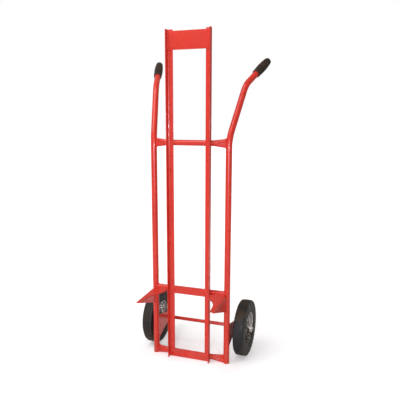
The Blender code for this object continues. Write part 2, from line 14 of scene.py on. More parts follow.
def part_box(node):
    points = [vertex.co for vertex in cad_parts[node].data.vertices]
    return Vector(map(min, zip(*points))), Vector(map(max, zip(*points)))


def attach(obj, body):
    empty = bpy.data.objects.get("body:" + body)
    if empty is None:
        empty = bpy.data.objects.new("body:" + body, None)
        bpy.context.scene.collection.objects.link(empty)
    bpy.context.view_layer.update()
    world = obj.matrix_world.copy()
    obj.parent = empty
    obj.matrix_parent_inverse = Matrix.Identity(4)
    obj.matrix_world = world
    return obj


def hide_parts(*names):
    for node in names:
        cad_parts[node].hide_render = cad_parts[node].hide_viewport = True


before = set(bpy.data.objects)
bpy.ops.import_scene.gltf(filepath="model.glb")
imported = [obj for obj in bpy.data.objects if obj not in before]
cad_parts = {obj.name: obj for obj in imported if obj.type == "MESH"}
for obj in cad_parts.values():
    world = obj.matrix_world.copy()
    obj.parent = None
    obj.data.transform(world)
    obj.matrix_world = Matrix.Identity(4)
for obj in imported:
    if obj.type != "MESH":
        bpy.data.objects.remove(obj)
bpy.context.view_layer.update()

SIDES = (("left", -1.0), ("right", 1.0))


def middle(node):
    low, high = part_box(node)
    return (low + high) / 2.0


def extent(node):
    low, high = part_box(node)
    return high - low


# ---- sizes read from the frame ----
TUBE_PLANE_Y = middle("middle_cross_tube").y
TUBE_HALF_SPACING = middle("right_axle_gusset").x
TUBE_BASE_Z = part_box("right_side_tube")[0].z
CROSS_RADIUS = extent("middle_cross_tube").z / 2.0
CROSS_TUBES = ("upper_cross_tube", "middle_cross_tube", "bottom_cross_tube")
CROSS_HEIGHTS = {name: middle(name).z for name in CROSS_TUBES}
FLAT_HALF_HEIGHT = extent("upper_cross_tube").z / 2.0
ANGLE_HALF_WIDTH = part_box("right_angle")[1].x
ANGLE_LEG = extent("right_angle").x
ANGLE_TOP_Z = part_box("right_angle")[1].z
ANGLE_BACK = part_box("right_angle")[1].y - TUBE_PLANE_Y
ANGLE_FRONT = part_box("right_angle")[0].y - TUBE_PLANE_Y
PLATE_THICKNESS = extent("top_plate").y
ARM_TIP_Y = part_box("right_arm")[0].y - TUBE_PLANE_Y
ARM_ROOT_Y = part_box("right_arm")[1].y - TUBE_PLANE_Y
AXLE_RADIUS = extent("axle").y / 2.0
AXLE_HALF_LENGTH = extent("axle").x / 2.0
WHEEL_RADIUS = extent("right_tyre").z / 2.0
WHEEL_HALF_TRACK = middle("right_tyre").x
WHEEL_Y = middle("right_tyre").y - TUBE_PLANE_Y
TYRE_HALF_WIDTH = extent("right_tyre").x / 2.0
HUB_RADIUS = extent("right_hub_sleeve").z / 2.0
HUB_HALF_LENGTH = extent("right_hub_sleeve").x / 2.0
BUSH_RADIUS = extent("right_outer_bush").z / 2.0
BUSH_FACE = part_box("right_outer_bush")[1].x - WHEEL_HALF_TRACK
GUSSET_THICKNESS = extent("right_axle_gusset").x
RIM_RADIUS = extent("right_outer_rim_half").z / 2.0
RIM_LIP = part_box("right_outer_rim_half")[1].x - WHEEL_HALF_TRACK

# ---- sizes of the design that a box doesn't give ----
TUBE_RADIUS = 0.0135
TUBE_WALL = 0.0020
HANDLE_BEND_1 = Vector((0.1735, 0.0, 1.0115))
HANDLE_BEND_2 = Vector((0.2113, 0.1120, 1.2380))
HANDLE_DIRECTION = Vector((0.2716, 0.7896, 0.5500)).normalized()
HANDLE_END = 0.196
BEND_1_RADIUS = 0.160
BEND_2_RADIUS = 0.110
GRIP_START = 0.093
GRIP_LENGTH = 0.122
GRIP_MOUTH_RADIUS = 0.0170
GRIP_BELLY_RADIUS = 0.0198
GRIP_END_RADIUS = 0.0162
GRIP_BELLY_SHARE = 0.42
GRIP_NOSE = 0.0110
GRIP_RIBS = 22
GRIP_RIB_DEPTH = 0.0013
GRIP_COLLAR = 0.007               # plain band at the mouth
GRIP_COLLAR_RISE = 0.0007
FLAT_HALF_THICKNESS = 0.0055
FLAT_TAPER_START = 0.018
FLAT_TAPER_LENGTH = 0.050
CROSS_SHAPED_LENGTH = 0.090       # the end of a cross tube that is modelled in fine steps
DENT_REACH = 0.050                # how far the pressed dent runs from a side tube's centre line
DENT_DEPTH = 0.0036
ANGLE_THICKNESS = 0.0030
ARM_SHEET = 0.0040
ARM_FOLD_RADIUS = 0.0040
ARM_ROOT_TOP_Z = 0.3270
ARM_TIP_TOP_Z = 0.3170
ARM_ROOT_BOTTOM_Z = 0.2520
ARM_TIP_BOTTOM_Z = 0.3120
ARM_FLANGE_EDGE = ((0.1010, -0.0145), (0.1035, -0.0400), (0.1110, -0.0640), (0.1210, -0.0800),
                   (0.1370, -0.1010), (0.1470, -0.1200), (0.1540, -0.1480), (0.1575, -0.1800),
                   (0.1595, -0.1960))
GUSSET_TUBE_LOW_Z = 0.0550
GUSSET_TUBE_HIGH_Z = 0.1780
GUSSET_NOSE_RADIUS = 0.0245
AXLE_CHAMFER = 0.0010
AXLE_CORE = 0.0004                # radius of the tiny flat at each end's middle
PAINT_LIFT = 0.0001
RIM_SHEET = 0.0020
RIM_SWAGE_RISE = 0.0030
RIM_COLLAR_RISE = 0.0110
HUB_WALL = 0.0035
BUSH_DEPTH = 0.0150
BOLT_HEAD = 0.0040
NUT_HEIGHT = 0.0050
THREAD_TURNS = 14
PIN_WIRE_RADIUS = 0.000832
PIN_EYE_RADIUS = 0.0028
PIN_LEG_GAP = 1.02                # half the gap between the legs, in wire radii

# Weld beads: the radius of each kind, and how far its line stands off the metal.
TUBE_BEAD = 0.0024
BAR_BEAD = 0.0017
BAR_BACK_BEAD = 0.0013
ANGLE_BEAD = 0.0020
ARM_BEAD = 0.0022
GUSSET_BEAD = 0.0026
BEAD_LIFT = 0.0006
BEAD_STEP = 0.0006                # spacing of the points along a bead
BEAD_PITCH = 0.0030               # spacing of its ripples

# How finely things are divided.
ROUND = 64
WHEEL_ROUND = 160
CROSS_ROUND = 96
BOLT_ROUND = 48
WIRE_ROUND = 12
BEAD_ROUND = 10
BEND_STEPS = 20
GRIP_STEPS = 90
CROSS_STATIONS = 48
ARM_STATIONS = 48

# Light and camera.
FRONT_LIGHT = 0.66
BACK_LIGHT = 0.24
FRONT_TINT = (0.97, 0.96, 1.0, 1.0)
BACK_TINT = (1.0, 0.92, 0.84, 1.0)
WHITE = (1.0, 1.0, 1.0, 1.0)
LIGHT_SIDE = Vector((-0.45, -0.85, 0.27))       # the world's brightest side: in front, left, a little up
LIGHT_FADE = 0.8                  # cosine from that side at which the fade stops
KEY_POWER = 70.0
FLASH_POWER = 17.0
GLINT_POWER = 50.0
REAR_POWER = 30.0
FLASH_COLOUR = (0.94, 0.92, 1.0)
GLINT_COLOUR = (0.90, 0.86, 1.0)
NEAR_GLOW = 0.30                  # lifts the floor to white in the picture, as an overexposed sweep is
FAR_GLOW = 0.80
GLOW_START = 0.5
GLOW_REACH = 6.0
FLOOR_HALF_SIZE = 30.0
CAMERA_POINT = (0.7710, -1.9960, 1.0709)
CAMERA_YAW, CAMERA_PITCH, CAMERA_ROLL = -0.3348, -0.1885, 0.0051
CAMERA_LENS = 44.198
CAMERA_SENSOR = 36.0
CAMERA_SHIFT = (-0.0173, 0.045)


# ---- placing and mesh helpers ----
def place(x, y, z):
    """A point in the frame, from a depth given from the side tubes' plane."""
    return Vector((x, TUBE_PLANE_Y + y, z))


def mix(start, end, share):
    return start + (end - start) * share


def clamp(value):
    return max(0.0, min(1.0, value))


def ease(value):
    value = clamp(value)
    return value * value * (3.0 - 2.0 * value)


def angles_round(segments):
    return [2.0 * math.pi * i / segments for i in range(segments)]


def turned_ring(work, radius, height, segments=ROUND):
    """A ring of vertices round Z; the radius is a number or a function of the angle."""
    ring = []
    for angle in angles_round(segments):
        reach = radius(angle) if callable(radius) else radius
        ring.append(work.verts.new((reach * math.cos(angle), reach * math.sin(angle), height)))
    return ring


def path_ring(work, point, axes, radius, segments):
    """A ring of vertices round a point of a path, in the plane of two axes."""
    across, up = axes
    return [work.verts.new(point + (across * math.cos(angle) + up * math.sin(angle)) * radius)
            for angle in angles_round(segments)]


def bridge(work, rings):
    """Quads between each ring of vertices and the next."""
    for lower, upper in zip(rings, rings[1:]):
        for i in range(len(lower)):
            j = (i + 1) % len(lower)
            work.faces.new((lower[i], lower[j], upper[j], upper[i]))


def solid(work, rings):
    """A closed body: the rings bridged, and the first and last ones filled."""
    bridge(work, rings)
    work.faces.new(rings[0])
    work.faces.new(rings[-1])


def mesh_from(build, matrix=Matrix()):
    """A mesh made by build(work), with its faces pointing out, then moved by a matrix."""
    work = bmesh.new()
    build(work)
    bmesh.ops.recalc_face_normals(work, faces=work.faces)
    mesh = bpy.data.meshes.new("mesh")
    work.to_mesh(mesh)
    work.free()
    mesh.transform(matrix)
    return mesh


def turned_mesh(profile, matrix, segments=ROUND):
    """A turned solid: profile is a closed loop of (radius, height)."""
    def build(work):
        rings = [turned_ring(work, radius, height, segments) for radius, height in profile]
        bridge(work, rings + rings[:1])
    return mesh_from(build, matrix)


def add_piece(name, mesh, finish, body, *nodes, smooth_angle=40.0):
    """Links a mesh to the scene, gives it its finish, and hides the CAD nodes that it stands for."""
    material, slot = finish
    mesh.name = name
    mesh.materials.append(material)
    mesh.shade_smooth()
    mesh.set_sharp_from_angle(angle=math.radians(smooth_angle))
    piece = bpy.data.objects.new(name, mesh)
    bpy.context.scene.collection.objects.link(piece)
    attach(piece, body)
    if nodes:
        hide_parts(*nodes)
    return piece


def round_edges(piece, width, segments=3, angle=50.0):
    bevel = piece.modifiers.new("rounded_edges", "BEVEL")
    bevel.width = width
    bevel.segments = segments
    bevel.limit_method = "ANGLE"
    bevel.angle_limit = math.radians(angle)
    bevel.harden_normals = True


def frame_along(direction, start):
    """A matrix whose +Z runs along direction from start."""
    turn = Vector(direction).to_track_quat("Z", "Y").to_matrix().to_4x4()
    return Matrix.Translation(start) @ turn


def corner_arc(before, corner, after, radius, steps):
    """Points of the arc that rounds a corner, in a plane or in space."""
    back = (before - corner).normalized()
    ahead = (after - corner).normalized()
    half = back.angle(ahead) / 2.0
    centre = corner + (back + ahead).normalized() * (radius / math.sin(half))
    first = corner + back * (radius / math.tan(half)) - centre
    last = corner + ahead * (radius / math.tan(half)) - centre
    opening = first.angle(last)
    arc = []
    for step in range(steps + 1):
        angle = opening * step / steps
        spoke = (first * math.sin(opening - angle) + last * math.sin(angle)) / math.sin(opening)
        arc.append(centre + spoke)
    return arc


def rounded_path(points, radii, steps, straight_step=0.06):
    """A polyline through points, with inner corners as arcs and long straights cut into shorter runs."""
    arcs = [corner_arc(before, corner, after, radius, steps)
            for before, corner, after, radius in zip(points, points[1:], points[2:], radii)]
    path = [points[0]]
    for arc in arcs + [[points[-1]]]:
        start = path[-1]
        count = max(1, math.ceil((arc[0] - start).length / straight_step))
        path += [start.lerp(arc[0], i / count) for i in range(1, count)] + arc
    return path


def rounded_outline(corners, steps=5):
    """An outline of flat points from corners given as (x, y, radius)."""
    flat = [Vector(corner[:2]) for corner in corners]
    points = []
    for i, (_, _, radius) in enumerate(corners):
        points += corner_arc(flat[i - 1], flat[i], flat[(i + 1) % len(flat)], radius, steps)
    return points


def resample(path, step, closed):
    """Points at an even spacing along a polyline."""
    corners = path + path[:1] if closed else path
    lengths = [(b - a).length for a, b in zip(corners, corners[1:])]
    total = sum(lengths)
    count = max(8, round(total / step))
    points, index, passed = [], 0, 0.0
    for i in range(count if closed else count + 1):
        target = min(total * i / count, total - 1e-9)
        while passed + lengths[index] < target:
            passed += lengths[index]
            index += 1
        points.append(corners[index].lerp(corners[index + 1], (target - passed) / lengths[index]))
    return points


def frames_on(path, closed=False):
    """For each point, two directions square to the path that don't twist along it."""
    count = len(path)
    tangents = []
    for i in range(count):
        before = path[(i - 1) % count] if closed else path[max(0, i - 1)]
        after = path[(i + 1) % count] if closed else path[min(count - 1, i + 1)]
        tangents.append((after - before).normalized())
    across = tangents[0].orthogonal().normalized()
    frames = []
    for tangent in tangents:
        across = (across - tangent * across.dot(tangent)).normalized()
        frames.append((across, tangent.cross(across)))
    return frames


def turned_to_meet(first, last):
    """The first ring of a closed path, begun at the vertex that fits the last ring best."""
    count = len(first)
    shift = min(range(count),
                key=lambda s: sum((last[i].co - first[(i + s) % count].co).length for i in range(count)))
    return [first[(i + shift) % count] for i in range(count)]


def sweep(work, path, radii, segments, closed=False):
    """A round bar along a path, with a radius at each point."""
    rings = [path_ring(work, point, axes, radius, segments)
             for point, radius, axes in zip(path, radii, frames_on(path, closed))]
    if closed:
        bridge(work, rings + [turned_to_meet(rings[0], rings[-1])])
    else:
        solid(work, rings)


def prism(work, outline, stations, put):
    """A straight bar: put(u, v, w) gives the point of an outline point (u, v) at a station w."""
    solid(work, [[work.verts.new(put(u, v, w)) for u, v in outline] for w in stations])


# ---- finishes ----
def add_node(tree, kind, inputs, **settings):
    """The outputs of a new node, whose inputs take values or other nodes' sockets."""
    node = tree.nodes.new("ShaderNode" + kind)
    for setting, value in settings.items():
        setattr(node, setting, value)
    for socket, value in inputs.items():
        if isinstance(value, bpy.types.NodeSocket):
            tree.links.new(value, node.inputs[socket])
        else:
            node.inputs[socket].default_value = value
    return node.outputs


class Finish:
    """A Principled material built up from a few procedural layers."""

    def __init__(self, name, roughness, metallic=0.0, coat=0.0, coat_roughness=0.05, ior=1.5, specular=0.5):
        self.material = bpy.data.materials.new(name)
        self.material.use_nodes = True
        self.tree = self.material.node_tree
        self.shader = self.tree.nodes["Principled BSDF"]
        fixed = {"Roughness": roughness, "Metallic": metallic, "Coat Weight": coat,
                 "Coat Roughness": coat_roughness, "IOR": ior, "Specular IOR Level": specular}
        for socket, value in fixed.items():
            self.shader.inputs[socket].default_value = value
        self.place = self.add("TexCoord", {})["Object"]

    def add(self, kind, inputs, **settings):
        return add_node(self.tree, kind, inputs, **settings)

    def stretched(self, x, y, z):
        return self.add("Mapping", {"Vector": self.place, "Scale": (x, y, z)})["Vector"]

    def noise(self, scale, detail=3.0, roughness=0.55, vector=None):
        inputs = {"Vector": vector or self.place, "Scale": scale, "Detail": detail, "Roughness": roughness}
        return self.add("TexNoise", inputs)["Fac"]

    def cells(self, scale):
        return self.add("TexVoronoi", {"Vector": self.place, "Scale": scale})["Distance"]

    def band(self, value, low, high, start=0.0, end=1.0):
        """Value from low to high mapped to start to end, and held there outside."""
        inputs = {"Value": value, "From Min": low, "From Max": high, "To Min": start, "To Max": end}
        return self.add("MapRange", inputs)["Result"]

    def height(self):
        return self.add("SeparateXYZ", {"Vector": self.place})["Z"]

    def axle_distance(self):
        """The distance from the axle's line."""
        centre = (0.0, TUBE_PLANE_Y + WHEEL_Y, WHEEL_RADIUS)
        offset = self.add("VectorMath", {0: self.place, 1: centre}, operation="SUBTRACT")["Vector"]
        flat = self.add("VectorMath", {0: offset, 1: (0.0, 1.0, 1.0)}, operation="MULTIPLY")["Vector"]
        return self.add("VectorMath", {0: flat}, operation="LENGTH")["Value"]

    def edges(self, width=0.0012):
        """Near 1 on edges sharper than the width can round, and 0 on flat or gently curved surfaces."""
        rounded = self.add("Bevel", {"Radius": width}, samples=8)["Normal"]
        plain = self.add("NewGeometry", {})["Normal"]
        alike = self.add("VectorMath", {0: rounded, 1: plain}, operation="DOT_PRODUCT")["Value"]
        return self.band(alike, 0.94, 0.76)

    def times(self, first, second):
        return self.add("Math", {0: first, 1: second}, operation="MULTIPLY")["Value"]

    def blend(self, share, first, second):
        """Colour from first to second by share; each is a colour or a socket."""
        sides = [(*colour, 1.0) if isinstance(colour, tuple) else colour for colour in (first, second)]
        return self.add("Mix", {0: share, 6: sides[0], 7: sides[1]}, data_type="RGBA")[2]

    def bump(self, height, strength, distance, below=None):
        inputs = {"Strength": strength, "Distance": distance, "Height": height}
        if below is not None:
            inputs["Normal"] = below
        return self.add("Bump", inputs)["Normal"]

    def wire(self, **sockets):
        """Links values to the shader's sockets: colour, roughness, normal, coat_normal, emission."""
        names = {"colour": "Base Color", "roughness": "Roughness", "normal": "Normal",
                 "coat_normal": "Coat Normal", "emission": "Emission Strength"}
        for key, value in sockets.items():
            self.tree.links.new(value, self.shader.inputs[names[key]])
        return self.material


def red_enamel():
    """Gloss sprayed enamel: faint orange peel, slight shade changes, and small chips on sharp edges."""
    finish = Finish("red_enamel", 0.30, coat=0.34, coat_roughness=0.07, specular=0.30)
    shade = finish.band(finish.noise(4.0, 4.0), 0.35, 0.65)
    paint = finish.blend(shade, (0.630, 0.026, 0.012), (0.700, 0.036, 0.017))
    low_down = finish.band(finish.height(), 0.16, 0.0, 0.0, 0.5)
    dust = finish.times(finish.band(finish.noise(22.0, 5.0), 0.45, 0.75), low_down)
    paint = finish.blend(dust, paint, (0.42, 0.10, 0.075))
    chips = finish.times(finish.edges(), finish.band(finish.noise(170.0, 4.0, 0.7), 0.58, 0.66))
    paint = finish.blend(chips, paint, (0.20, 0.085, 0.065))
    rough = finish.band(finish.noise(35.0, 4.0), 0.3, 0.7, 0.24, 0.38)
    peel = finish.bump(finish.noise(420.0, 1.0), 0.10, 0.0006)
    runs = finish.bump(finish.noise(28.0, 2.0, vector=finish.stretched(1.0, 1.0, 0.35)), 0.12, 0.0015, peel)
    return finish.wire(colour=paint, roughness=rough, normal=runs, coat_normal=runs)


def tyre_rubber():
    """Solid rubber: near black with a brown bloom, fine pores, and specks of dust."""
    finish = Finish("tyre_rubber", 0.6, specular=0.24)
    bloom = finish.band(finish.noise(12.0, 4.0), 0.42, 0.66)
    rubber = finish.blend(bloom, (0.014, 0.014, 0.015), (0.044, 0.030, 0.016))
    specks = finish.band(finish.noise(260.0, 3.0, 0.7), 0.64, 0.74, 0.0, 0.40)
    rubber = finish.blend(specks, rubber, (0.075, 0.070, 0.062))
    rough = finish.band(finish.noise(60.0, 3.0), 0.3, 0.7, 0.48, 0.70)
    pores = finish.bump(finish.noise(700.0, 2.0), 0.25, 0.0004)
    return finish.wire(colour=rubber, roughness=rough, normal=pores)


def grip_rubber():
    """Soft moulded grip: dark brown, worn a little paler where hands rub it."""
    finish = Finish("grip_rubber", 0.5, specular=0.25)
    wear = finish.band(finish.noise(55.0, 5.0, 0.6), 0.40, 0.75)
    rubber = finish.blend(wear, (0.022, 0.013, 0.008), (0.070, 0.040, 0.022))
    rough = finish.band(finish.noise(80.0, 3.0), 0.3, 0.7, 0.42, 0.62)
    grain = finish.bump(finish.noise(900.0, 2.0), 0.22, 0.0003)
    return finish.wire(colour=rubber, roughness=rough, normal=grain)


def rim_steel():
    """Pressed steel in a thin silver coat, with oily dirt and painted shade round the hub, and dirt streaks
    and painted shade on its lower part.
    """
    finish = Finish("rim_steel", 0.4, metallic=0.80)
    tone = finish.band(finish.noise(45.0, 5.0, 0.65), 0.35, 0.7)
    steel = finish.blend(tone, (0.66, 0.64, 0.60), (0.90, 0.88, 0.84))
    # Painted shade of the recessed disc, mixed with oily dirt: dark brown patches round the hub.
    hub_dirt_and_shade = finish.band(finish.noise(62.0, 5.0, 0.66), 0.38, 0.56)
    near_hub = finish.band(finish.axle_distance(), 0.078, 0.062)
    steel = finish.blend(finish.times(hub_dirt_and_shade, near_hub), steel, (0.060, 0.044, 0.029))
    # Painted shade, mixed with dirt streaks: darker towards the bottom of the disc.
    lower_dirt_and_shade = finish.band(finish.noise(95.0, 5.0, 0.66), 0.36, 0.54)
    low_down = finish.band(finish.height(), 0.140, 0.105)
    steel = finish.blend(finish.times(lower_dirt_and_shade, low_down), steel, (0.050, 0.038, 0.024))
    spots = finish.band(finish.noise(140.0, 4.0, 0.7), 0.58, 0.66, 0.0, 0.80)
    steel = finish.blend(spots, steel, (0.10, 0.078, 0.055))
    rough = finish.band(finish.noise(90.0, 3.0), 0.3, 0.7, 0.28, 0.50)
    dents = finish.bump(finish.noise(160.0, 3.0), 0.15, 0.0006)
    return finish.wire(colour=steel, roughness=rough, normal=dents)


def zinc_plate():
    """Bright zinc: a fine crystal pattern with slight tarnish."""
    finish = Finish("zinc_plate", 0.28, metallic=1.0)
    crystals = finish.band(finish.cells(900.0), 0.1, 0.7)
    plate = finish.blend(crystals, (0.66, 0.66, 0.64), (0.80, 0.80, 0.77))
    tarnish = finish.band(finish.noise(240.0, 4.0, 0.7), 0.55, 0.75, 0.0, 0.6)
    plate = finish.blend(tarnish, plate, (0.36, 0.33, 0.27))
    rough = finish.band(finish.noise(300.0, 3.0), 0.3, 0.7, 0.20, 0.38)
    grain = finish.bump(finish.noise(1400.0, 2.0), 0.08, 0.0002)
    return finish.wire(colour=plate, roughness=rough, normal=grain)


def bush_nylon():
    """Natural nylon: warm off-white, slightly waxy."""
    finish = Finish("bush_nylon", 0.42, ior=1.53)
    tone = finish.band(finish.noise(160.0, 3.0), 0.35, 0.7)
    nylon = finish.blend(tone, (0.66, 0.60, 0.47), (0.76, 0.71, 0.58))
    rough = finish.band(finish.noise(220.0, 2.0), 0.3, 0.7, 0.36, 0.5)
    grain = finish.bump(finish.noise(1100.0, 2.0), 0.06, 0.0002)
    return finish.wire(colour=nylon, roughness=rough, normal=grain)


def bare_steel():
    """Drawn bar where the paint has been rubbed off: grey with fine turning marks."""
    finish = Finish("axle_steel", 0.35, metallic=1.0)
    tone = finish.band(finish.noise(120.0, 4.0), 0.35, 0.7)
    steel = finish.blend(tone, (0.34, 0.33, 0.31), (0.52, 0.51, 0.49))
    marks = finish.bump(finish.noise(2200.0, 1.0, vector=finish.stretched(1.0, 0.1, 0.1)), 0.12, 0.0002)
    rough = finish.band(finish.noise(200.0, 3.0), 0.3, 0.7, 0.26, 0.46)
    return finish.wire(colour=steel, roughness=rough, normal=marks)


# Each finish is a material with the slot that it fills.
RED = (red_enamel(), "red_enamel")
TYRE = (tyre_rubber(), "tyre_rubber")
GRIP = (grip_rubber(), "grip_rubber")
RIM = (rim_steel(), "rim_steel")
ZINC = (zinc_plate(), "zinc_plate")
NYLON = (bush_nylon(), "bush_nylon")
BARE = (bare_steel(), "zinc_plate")


# ---- tubes and grips ----
def handle_point(side, distance):
    """A point on the last straight of a handle, at a distance after its second corner."""
    point = HANDLE_BEND_2 + HANDLE_DIRECTION * distance
    return place(side * point.x, point.y, point.z)


def make_side_tube(label, side):
    """A hollow tube with two bends, open at its foot and under its grip."""
    corners = [place(side * TUBE_HALF_SPACING, 0.0, TUBE_BASE_Z),
               place(side * HANDLE_BEND_1.x, HANDLE_BEND_1.y, HANDLE_BEND_1.z),
               handle_point(side, 0.0), handle_point(side, HANDLE_END)]
    path = rounded_path(corners, (BEND_1_RADIUS, BEND_2_RADIUS), BEND_STEPS)
    stations = list(zip(path, frames_on(path)))

    def build(work):
        outside = [path_ring(work, point, axes, TUBE_RADIUS, ROUND) for point, axes in stations]
        inside = [path_ring(work, point, axes, TUBE_RADIUS - TUBE_WALL, ROUND) for point, axes in stations]
        bridge(work, outside + inside[::-1] + outside[:1])
    piece = add_piece(f"{label}_upright", mesh_from(build), RED, "frame", f"{label}_side_tube")
    round_edges(piece, 0.0005, 2)


def grip_radius(height):
    """The grip's outer radius along its length, without its ribs."""
    belly = GRIP_LENGTH * GRIP_BELLY_SHARE
    straight = GRIP_LENGTH - GRIP_NOSE
    if height < belly:
        return GRIP_BELLY_RADIUS - (GRIP_BELLY_RADIUS - GRIP_MOUTH_RADIUS) * ((belly - height) / belly) ** 2
    if height < straight:
        share = (height - belly) / (straight - belly)
        return GRIP_BELLY_RADIUS - (GRIP_BELLY_RADIUS - GRIP_END_RADIUS) * share ** 2
    angle = math.asin(min(1.0, (height - straight) / GRIP_NOSE))
    return GRIP_END_RADIUS * max(0.0, math.cos(angle)) ** 0.8


def make_grip(label, side):
    """A moulded barrel with lengthwise ribs between a plain collar and a plain rounded end."""
    points_round = GRIP_RIBS * 8
    straight = GRIP_LENGTH - GRIP_NOSE
    bore = TUBE_RADIUS + 0.0003
    mouth = 0.0005                    # the collar's edge is rounded back this far

    def ribbed(height, angle):
        fade = ease((height - GRIP_COLLAR) / 0.004) * ease((straight - 0.002 - height) / 0.006)
        groove = (0.5 - 0.5 * math.cos(GRIP_RIBS * angle)) ** 2
        collar = GRIP_COLLAR_RISE * ease((GRIP_COLLAR - height) / 0.002)
        return grip_radius(height) + collar - GRIP_RIB_DEPTH * fade * groove

    def build(work):
        heights = [straight * step / GRIP_STEPS for step in range(GRIP_STEPS + 1)]
        heights += [straight + GRIP_NOSE * math.sin(math.radians(7.0 * step)) for step in range(1, 13)]
        plain = ((bore, HANDLE_END - GRIP_START + 0.0003), (bore, 0.0), (grip_radius(0.0) - 0.0004, 0.0))
        rings = [turned_ring(work, radius, height, points_round) for radius, height in plain]
        for height in heights:
            at = max(height, mouth)
            rings.append(turned_ring(work, lambda angle: ribbed(height, angle), at, points_round))
        solid(work, rings)
    direction = Vector((side * HANDLE_DIRECTION.x, HANDLE_DIRECTION.y, HANDLE_DIRECTION.z))
    mesh = mesh_from(build, frame_along(direction, handle_point(side, GRIP_START)))
    add_piece(f"{label}_ribbed_grip", mesh, GRIP, "frame", f"{label}_grip", smooth_angle=60.0)


# ---- cross tubes and welds ----
def cross_section(distance, flattened):
    """The section (depth, height) of a cross tube at a distance from the side tube's centre line."""
    share, opening = 1.0, 0.0
    if flattened:
        taper = (distance - FLAT_TAPER_START) / FLAT_TAPER_LENGTH
        share = ease(taper) * 0.35 + clamp(taper) * 0.65
        opening = clamp((DENT_REACH - distance) / (DENT_REACH - TUBE_RADIUS))
    half_height = mix(FLAT_HALF_HEIGHT, CROSS_RADIUS, share)
    half_depth = mix(FLAT_HALF_THICKNESS, CROSS_RADIUS, share)
    power = mix(0.55, 1.0, share)     # squares the flattened section
    points = []
    for angle in angles_round(CROSS_ROUND):
        height = half_height * math.sin(angle)
        depth = half_depth * math.copysign(abs(math.cos(angle)) ** power, math.cos(angle))
        if opening > 0.0:
            inside = clamp(1.0 - abs(height) / (0.80 * half_height * opening + 0.0001))
            depth -= math.copysign(DENT_DEPTH * opening ** 0.5 * inside ** 0.6, depth)
        points.append((depth, height))
    return points


def make_cross_tube(name, z, flattened):
    """A tube between the side tubes; pressed ends flare upright and carry a pointed dent."""
    start = TUBE_RADIUS - 0.001
    half = []
    for step in range(CROSS_STATIONS + 1):
        distance = mix(start, CROSS_SHAPED_LENGTH, step / CROSS_STATIONS)
        half.append((distance, cross_section(distance, flattened), 1.0 - clamp(step / 4.0)))

    def build(work):
        rings = []
        for side, run in ((-1.0, half), (1.0, half[::-1])):
            for distance, section, snug in run:
                ring = []
                for depth, height in section:
                    reach = math.sqrt(max(0.0, TUBE_RADIUS ** 2 - depth ** 2)) - 0.001
                    at = mix(distance, reach, snug)
                    ring.append(work.verts.new(place(side * (TUBE_HALF_SPACING - at), depth, z + height)))
                rings.append(ring)
        solid(work, rings)
    add_piece(name.replace("tube", "rail"), mesh_from(build), RED, "frame", name, smooth_angle=30.0)


def weld(work, path, radius, closed=False):
    """A weld bead: overlapping ripples along a path, which stays above the floor."""
    path = resample(path, BEAD_STEP, closed)
    for point in path:
        point.z = max(point.z, radius * 1.2)
    radii = []
    for i, point in enumerate(path):
        ripple = abs(math.sin(math.pi * i * BEAD_STEP / BEAD_PITCH))
        radii.append(radius * (0.84 + 0.20 * ripple + 0.16 * noise.noise(point * 90.0)))
    if not closed:
        for i in range(4):
            fade = math.sin(math.pi / 2.0 * (i + 0.6) / 4.0)
            radii[i] *= fade
            radii[-1 - i] *= fade
    sweep(work, path, radii, BEAD_ROUND, closed)


def add_welds(name, build):
    add_piece(name, mesh_from(build), RED, "frame", smooth_angle=70.0)


def joint_point(side, depth, z):
    """Where a line along X at this depth meets the side tube's inner face, off it by a bead's lift."""
    reach = math.sqrt(max(0.0, (TUBE_RADIUS + BEAD_LIFT) ** 2 - depth ** 2))
    return place(side * (TUBE_HALF_SPACING - reach), depth, z)


def make_cross_tube_welds(name, z, flattened):
    """A bead round each end of a cross tube, following the side tube's round face."""
    def build(work):
        for _, side in SIDES:
            ring = []
            for depth, height in cross_section(TUBE_RADIUS, flattened):
                outward = Vector((depth, height)).normalized() * BEAD_LIFT
                ring.append(joint_point(side, depth + outward.x, z + height + outward.y))
            weld(work, ring, TUBE_BEAD, closed=True)
    add_welds(name.replace("tube", "welds"), build)


# ---- raised load frame ----
def make_angle(label, side):
    """A rolled angle: rounded toes, a fillet in the corner, and sawn ends."""
    outer = side * ANGLE_HALF_WIDTH
    inner = side * (ANGLE_HALF_WIDTH - ANGLE_LEG)
    skin = side * (ANGLE_HALF_WIDTH - ANGLE_THICKNESS)
    inside = ANGLE_BACK - ANGLE_THICKNESS
    outline = rounded_outline([(outer, ANGLE_BACK, 0.0007), (outer, ANGLE_FRONT, 0.0005),
                               (skin, ANGLE_FRONT, 0.0016), (skin, inside, 0.0042),
                               (inner, inside, 0.0016), (inner, ANGLE_BACK, 0.0005)])
    stations = [ANGLE_TOP_Z * step / 24.0 for step in range(25)]
    mesh = mesh_from(lambda work: prism(work, outline, stations, place))
    round_edges(add_piece(f"{label}_angle_bar", mesh, RED, "frame", f"{label}_angle"), 0.0004, 2, 60.0)


